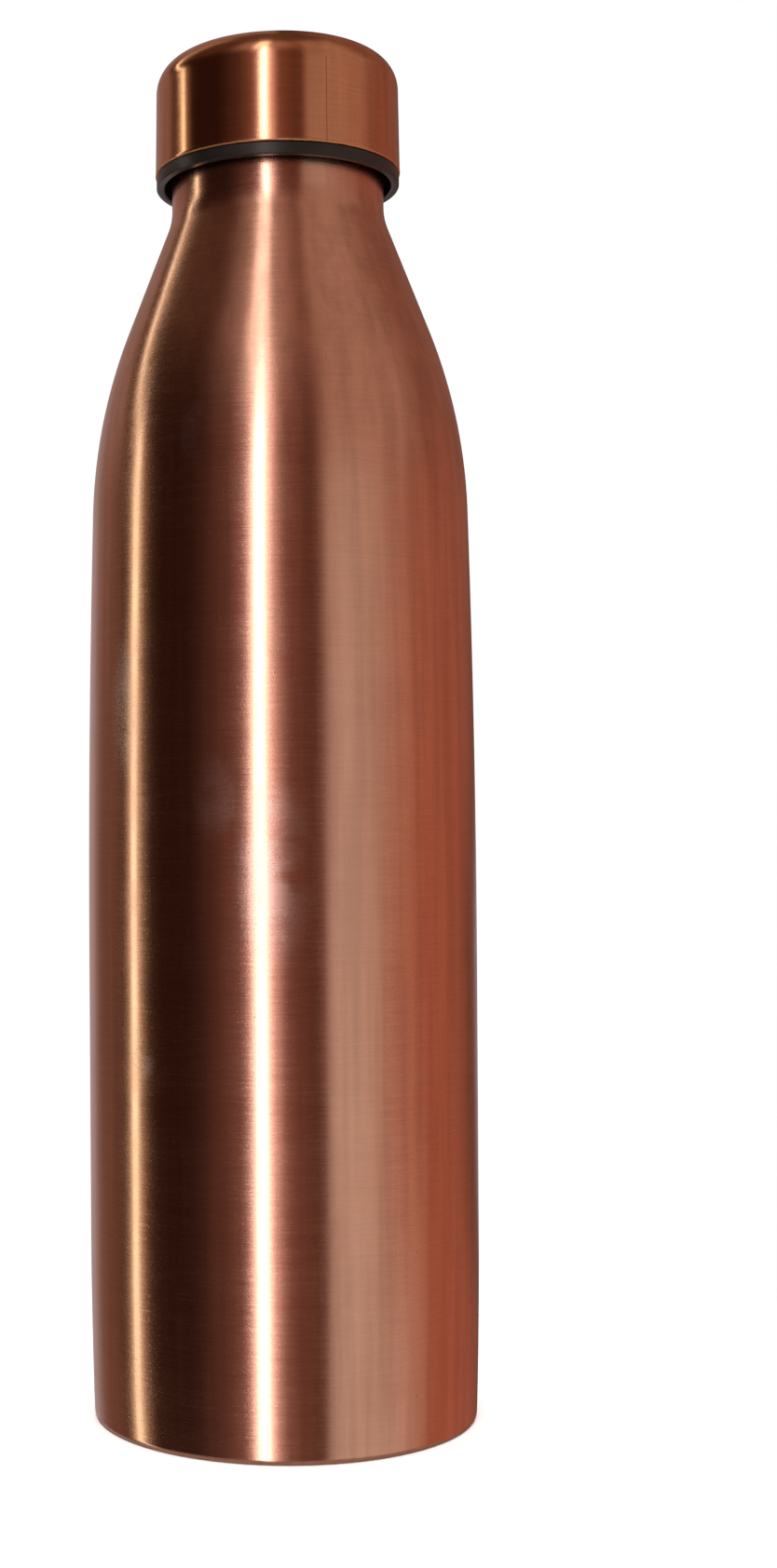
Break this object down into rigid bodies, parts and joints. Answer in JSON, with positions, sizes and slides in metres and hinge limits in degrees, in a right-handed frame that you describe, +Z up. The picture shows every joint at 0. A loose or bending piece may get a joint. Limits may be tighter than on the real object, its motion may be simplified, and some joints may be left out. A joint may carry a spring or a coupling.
{
  "type": "copper water bottle",
  "caption": "Tall round copper bottle with a barrelled body, sloping shoulder, short neck and a copper screw cap over a dark threaded liner.",
  "frame": {"origin": "centre of the ring that the bottle stands on", "axes": "+Z up along the bottle's axis, from the foot to the cap"},
  "size_m": [0.0772, 0.0772, 0.269],
  "materials": {
    "body_copper": "brushed round the axis, bare copper",
    "cap_copper": "brushed round the axis, bare copper, slightly more golden than the body",
    "braze_alloy": "cast surface, satin",
    "liner_plastic": "moulded, slight sheen",
    "gasket_silicone": "smooth, milky",
    "adhesive": "set hot-melt glue"
  },
  "bodies": {
    "bottle": {"bottle_shell": "body_copper", "base_pan": "body_copper", "base_braze_seam": "braze_alloy"},
    "cap_seal": {"cap_gasket": "gasket_silicone"},
    "cap": {"cap_shell": "cap_copper", "cap_liner": "liner_plastic", "cap_adhesive_pad": "adhesive"}
  },
  "joints": [
    {"name": "cap_lift", "type": "slide", "parent": "bottle", "child": "cap_seal", "axis": [0, 0, 1], "range_m": [0, 0.0301]},
    {"name": "cap_turn", "type": "hinge", "parent": "cap_seal", "child": "cap", "pos_m": [0, 0, 0.25], "axis": [0, 0, 1], "range_deg": [0, 1800]}
  ],
  "couplings": [
    {"joint": "cap_lift", "follows": "cap_turn", "m_per_rad": 0.00095493}
  ]
}
